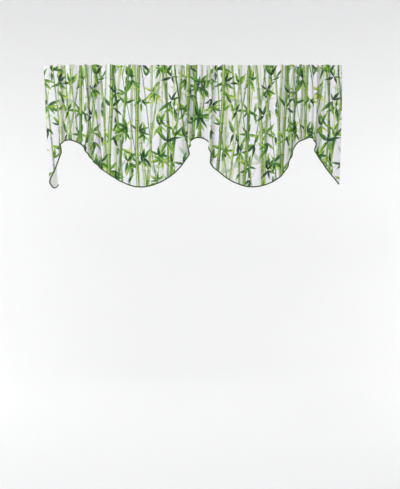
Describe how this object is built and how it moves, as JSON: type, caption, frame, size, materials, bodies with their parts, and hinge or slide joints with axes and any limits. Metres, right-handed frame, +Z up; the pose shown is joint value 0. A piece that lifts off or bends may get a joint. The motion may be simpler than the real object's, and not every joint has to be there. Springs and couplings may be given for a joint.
{
  "type": "window valance",
  "caption": "Gathered cloth valance with a scalloped, corded hem, lined, folded over at the top into a flat rod pocket, for hanging across the top of a window.",
  "frame": {"origin": "middle of the top edge, in the plane of the lining where the cloth hangs flat", "axes": "+X along the width towards the right as seen from the room, the printed front faces -Y, +Z up"},
  "size_m": [1.0616, 0.0694, 0.4352],
  "materials": {
    "printed_cloth": "plain-weave cotton, white, printed with green stems and leaves, matt",
    "lining_cloth": "plain-weave lining, off-white, matt",
    "cord_cloth": "dark green cloth-covered cord, matt"
  },
  "bodies": {
    "root": {"face_cloth": "printed_cloth", "lining": "lining_cloth", "hem_cord": "cord_cloth"}
  },
  "joints": []
}
